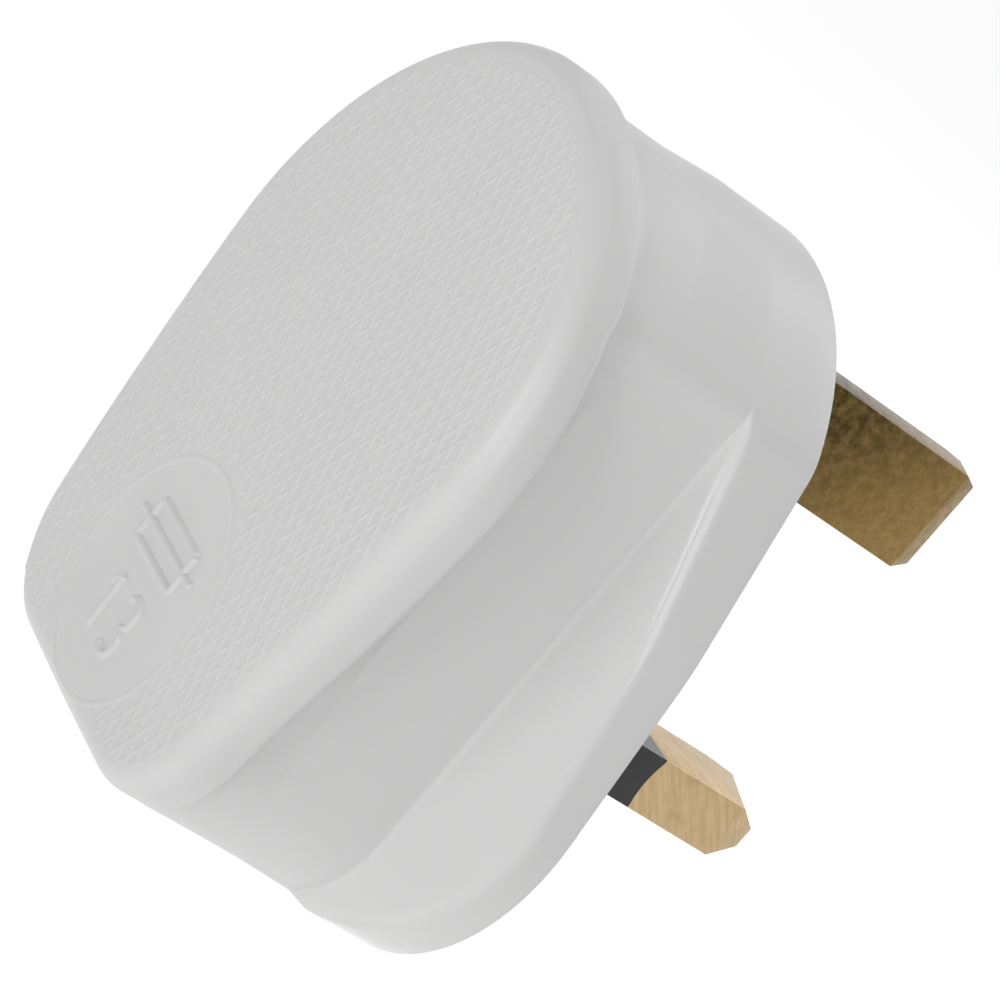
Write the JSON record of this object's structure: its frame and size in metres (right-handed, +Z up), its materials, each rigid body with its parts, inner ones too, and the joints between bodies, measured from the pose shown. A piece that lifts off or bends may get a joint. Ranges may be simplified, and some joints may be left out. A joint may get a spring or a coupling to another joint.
{
  "type": "three-pin mains plug",
  "caption": "Rewireable mains plug with a broad grip head, a waist, a flared skirt, flat brass pins, dark sleeves on the line pins and a cartridge fuse inside; no cord.",
  "frame": {"origin": "on the pin face, midway between the live and neutral pins", "axes": "+Z up towards the earth pin, +Y the way the pins point, +X to the right seen from behind, the live side"},
  "size_m": [0.0462, 0.045, 0.0518],
  "materials": {
    "white_moulding": "satin with gloss on the skirt",
    "base_moulding": "satin",
    "pin_brass": "tarnished",
    "sleeve_plastic": "matt",
    "terminal_brass": "plain",
    "clip_spring": "rolled strip",
    "plated_steel": "zinc plated",
    "fuse_ceramic": "matt",
    "fuse_cap_plating": "nickel plated",
    "grip_fibre": "matt"
  },
  "bodies": {
    "root": {"rear_cover": "white_moulding", "base": "base_moulding", "earth_pin": "pin_brass", "neutral_pin": "pin_brass", "live_pin": "pin_brass", "neutral_pin_sleeve": "sleeve_plastic", "live_pin_sleeve": "sleeve_plastic", "earth_terminal_screw": "plated_steel", "neutral_terminal_screw": "plated_steel", "live_terminal": "terminal_brass", "live_terminal_screw": "plated_steel", "live_pin_fuse_clip": "clip_spring", "terminal_fuse_clip": "clip_spring", "fuse_clip_rivets": "terminal_brass", "fuse_tube": "fuse_ceramic", "fuse_end_caps": "fuse_cap_plating", "fuse_wire": "fuse_cap_plating", "cord_grip_bar": "grip_fibre", "cord_grip_screws": "plated_steel", "cover_screw": "plated_steel", "screw_retaining_washer": "grip_fibre", "cover_nut": "plated_steel"}
  },
  "joints": []
}
